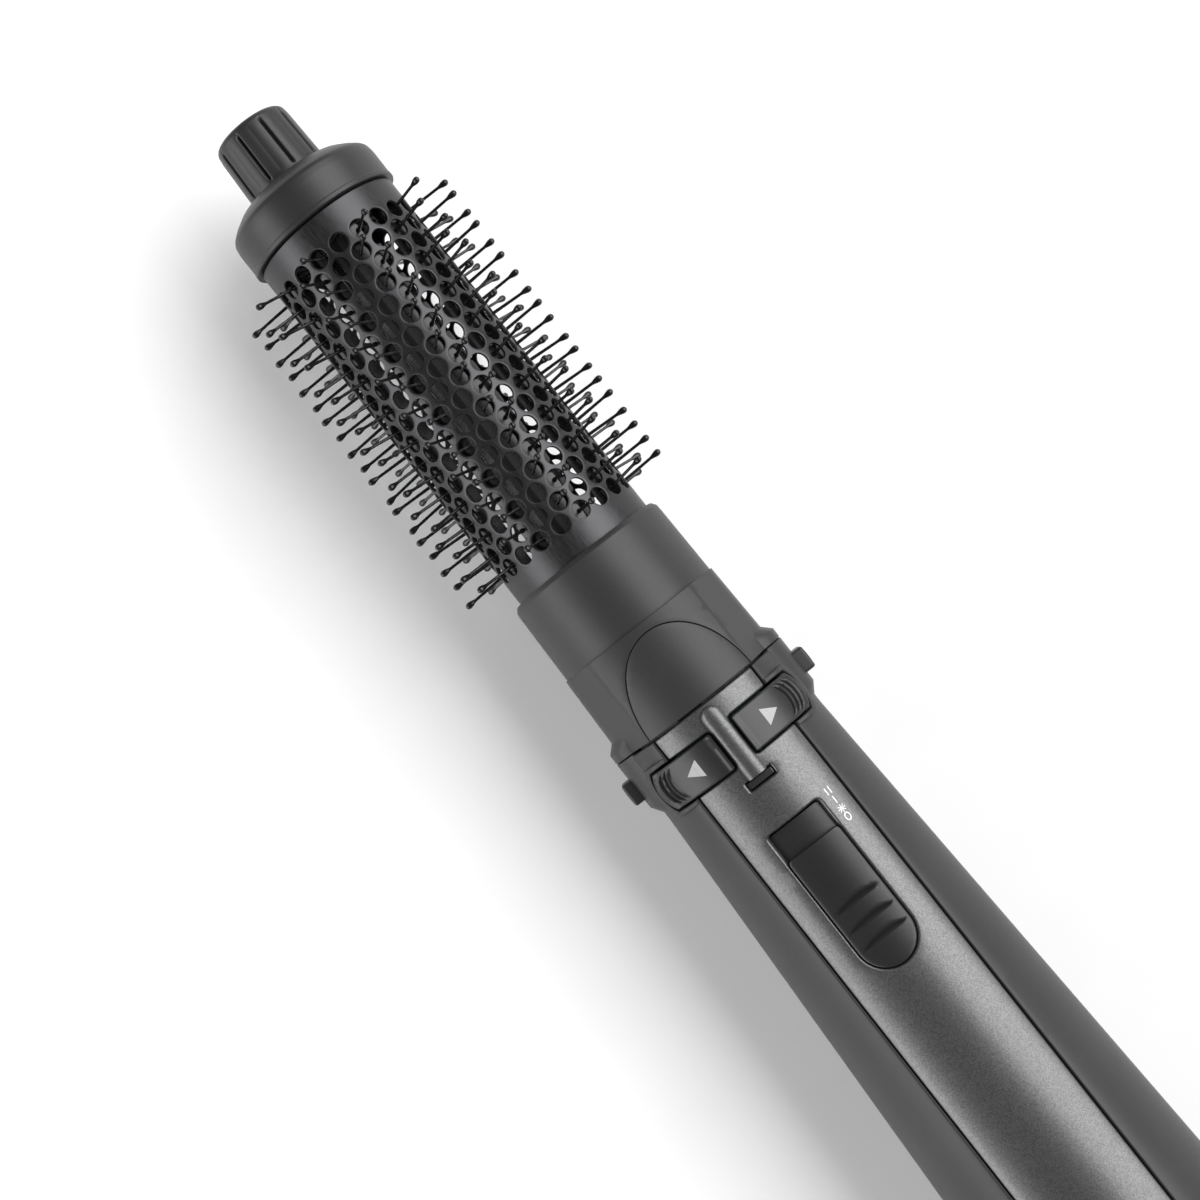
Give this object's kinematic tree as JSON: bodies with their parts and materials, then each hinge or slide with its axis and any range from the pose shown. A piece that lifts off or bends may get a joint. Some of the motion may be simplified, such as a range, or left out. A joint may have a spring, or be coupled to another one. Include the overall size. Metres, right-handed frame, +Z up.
{
  "type": "hot air brush",
  "caption": "Hand-held hot air styling brush: round handle with buttons and thumb slider, fan and heater inside, and a plug-on rotating perforated barrel with retractable pins and a tip knob.",
  "frame": {"origin": "bottom centre of the whole brush as it lies on a table, half way along its length", "axes": "+X along the handle towards the knob at the tip, +Y to the left side, +Z up through the switch panel"},
  "size_m": [0.34, 0.05, 0.05],
  "materials": {
    "soft_black": "satin black moulded plastic with a fine grain",
    "matte_black": "matt black moulded plastic",
    "gloss_black": "smooth black plastic",
    "silver_paint": "silver-grey metallic paint with fine flakes",
    "barrel_metal": "dark grey coated, satin",
    "steel": "plain steel",
    "mica": "heat-proof mica sheet",
    "resistance_wire": "dull resistance wire",
    "board": "green circuit board",
    "grey_plastic": "grey moulded plastic"
  },
  "bodies": {
    "handle": {"left_side_shell": "soft_black", "right_side_shell": "soft_black", "front_panel": "silver_paint", "indicator_window": "gloss_black", "rear_cap": "soft_black", "swivel_retainer": "grey_plastic", "casing_screw_1": "steel", "casing_screw_2": "steel", "left_rotate_switch": "gloss_black", "right_rotate_switch": "gloss_black", "left_release_spring": "steel", "right_release_spring": "steel", "circuit_board": "board", "slider_tray": "soft_black", "mode_switch": "gloss_black", "air_duct": "matte_black", "brush_motor": "steel", "reduction_gearbox": "grey_plastic", "motor_bracket": "grey_plastic", "shaft_bearing": "grey_plastic", "heater_frame": "mica", "heater_coil": "resistance_wire", "heater_sleeve": "mica", "thermostat": "steel", "thermal_fuse": "steel", "fan_shroud": "grey_plastic", "fan_motor": "steel", "intake_filter": "steel"},
    "brush_head": {"brush_collar": "soft_black", "collar_bearing": "grey_plastic"},
    "barrel": {"brush_barrel": "barrel_metal", "tip_flange": "matte_black", "drive_hub": "matte_black"},
    "retractor": {"retract_knob": "matte_black", "retract_spindle": "grey_plastic", "scroll_disc_tip": "grey_plastic", "scroll_disc_base": "grey_plastic"},
    "comb_01": {"pin_comb_01": "gloss_black"},
    "comb_02": {"pin_comb_02": "gloss_black"},
    "comb_03": {"pin_comb_03": "gloss_black"},
    "comb_04": {"pin_comb_04": "gloss_black"},
    "comb_05": {"pin_comb_05": "gloss_black"},
    "comb_06": {"pin_comb_06": "gloss_black"},
    "comb_07": {"pin_comb_07": "gloss_black"},
    "comb_08": {"pin_comb_08": "gloss_black"},
    "comb_09": {"pin_comb_09": "gloss_black"},
    "comb_10": {"pin_comb_10": "gloss_black"},
    "drive": {"drive_shaft": "steel"},
    "fan": {"fan_impeller": "grey_plastic"},
    "left_rotate": {"left_rotate_button": "matte_black"},
    "right_rotate": {"right_rotate_button": "matte_black"},
    "left_release": {"left_release_button": "matte_black"},
    "right_release": {"right_release_button": "matte_black"},
    "slider": {"mode_slider": "soft_black"},
    "swivel": {"cord_gland": "matte_black"}
  },
  "joints": [
    {"name": "head_pull", "type": "slide", "parent": "handle", "child": "brush_head", "axis": [1, 0, 0], "range_m": [0, 0.015]},
    {"name": "barrel_spin", "type": "hinge", "parent": "brush_head", "child": "barrel", "pos_m": [0.1, 0, 0.025], "axis": [1, 0, 0], "continuous": true},
    {"name": "knob_turn", "type": "hinge", "parent": "barrel", "child": "retractor", "pos_m": [0.163, 0, 0.025], "axis": [1, 0, 0], "range_deg": [0, 90]},
    {"name": "comb_01_retract", "type": "slide", "parent": "barrel", "child": "comb_01", "axis": [0, -0.3827, -0.9239], "range_m": [0, 0.0088]},
    {"name": "comb_02_retract", "type": "slide", "parent": "barrel", "child": "comb_02", "axis": [0, -0.8526, -0.5225], "range_m": [0, 0.0088]},
    {"name": "comb_03_retract", "type": "slide", "parent": "barrel", "child": "comb_03", "axis": [0, -0.9969, 0.0785], "range_m": [0, 0.0088]},
    {"name": "comb_04_retract", "type": "slide", "parent": "barrel", "child": "comb_04", "axis": [0, -0.7604, 0.6494], "range_m": [0, 0.0088]},
    {"name": "comb_05_retract", "type": "slide", "parent": "barrel", "child": "comb_05", "axis": [0, -0.2334, 0.9724], "range_m": [0, 0.0088]},
    {"name": "comb_06_retract", "type": "slide", "parent": "barrel", "child": "comb_06", "axis": [0, 0.3827, 0.9239], "range_m": [0, 0.0088]},
    {"name": "comb_07_retract", "type": "slide", "parent": "barrel", "child": "comb_07", "axis": [0, 0.8526, 0.5225], "range_m": [0, 0.0088]},
    {"name": "comb_08_retract", "type": "slide", "parent": "barrel", "child": "comb_08", "axis": [0, 0.9969, -0.0785], "range_m": [0, 0.0088]},
    {"name": "comb_09_retract", "type": "slide", "parent": "barrel", "child": "comb_09", "axis": [0, 0.7604, -0.6494], "range_m": [0, 0.0088]},
    {"name": "comb_10_retract", "type": "slide", "parent": "barrel", "child": "comb_10", "axis": [0, 0.2334, -0.9724], "range_m": [0, 0.0088]},
    {"name": "shaft_spin", "type": "hinge", "parent": "handle", "child": "drive", "pos_m": [0.02, 0, 0.025], "axis": [1, 0, 0], "continuous": true},
    {"name": "fan_spin", "type": "hinge", "parent": "handle", "child": "fan", "pos_m": [-0.108, 0, 0.025], "axis": [1, 0, 0], "continuous": true},
    {"name": "left_rotate_press", "type": "hinge", "parent": "handle", "child": "left_rotate", "pos_m": [0.0151, 0.0025, 0.0423], "axis": [-1, 0, 0], "range_deg": [0, 4], "stiffness_Nm_per_rad": 0.12, "springref_deg": -1.72},
    {"name": "right_rotate_press", "type": "hinge", "parent": "handle", "child": "right_rotate", "pos_m": [0.0151, -0.0025, 0.0423], "axis": [1, 0, 0], "range_deg": [0, 4], "stiffness_Nm_per_rad": 0.12, "springref_deg": -1.72},
    {"name": "left_release_press", "type": "slide", "parent": "handle", "child": "left_release", "axis": [0, -1, 0], "range_m": [0, 0.0018], "stiffness_N_per_m": 900, "springref_m": -0.001},
    {"name": "right_release_press", "type": "slide", "parent": "handle", "child": "right_release", "axis": [0, 1, 0], "range_m": [0, 0.0018], "stiffness_N_per_m": 900, "springref_m": -0.001},
    {"name": "mode_slide", "type": "slide", "parent": "handle", "child": "slider", "axis": [0.999, 0, -0.0454], "range_m": [0, 0.0059]},
    {"name": "cord_swivel", "type": "hinge", "parent": "handle", "child": "swivel", "pos_m": [-0.163, 0, 0.025], "axis": [1, 0, 0], "continuous": true}
  ],
  "couplings": [
    {"joint": "comb_01_retract", "follows": "knob_turn", "m_per_rad": 0.0056},
    {"joint": "comb_02_retract", "follows": "knob_turn", "m_per_rad": 0.0056},
    {"joint": "comb_03_retract", "follows": "knob_turn", "m_per_rad": 0.0056},
    {"joint": "comb_04_retract", "follows": "knob_turn", "m_per_rad": 0.0056},
    {"joint": "comb_05_retract", "follows": "knob_turn", "m_per_rad": 0.0056},
    {"joint": "comb_06_retract", "follows": "knob_turn", "m_per_rad": 0.0056},
    {"joint": "comb_07_retract", "follows": "knob_turn", "m_per_rad": 0.0056},
    {"joint": "comb_08_retract", "follows": "knob_turn", "m_per_rad": 0.0056},
    {"joint": "comb_09_retract", "follows": "knob_turn", "m_per_rad": 0.0056},
    {"joint": "comb_10_retract", "follows": "knob_turn", "m_per_rad": 0.0056},
    {"joint": "shaft_spin", "follows": "barrel_spin", "ratio": 1}
  ]
}
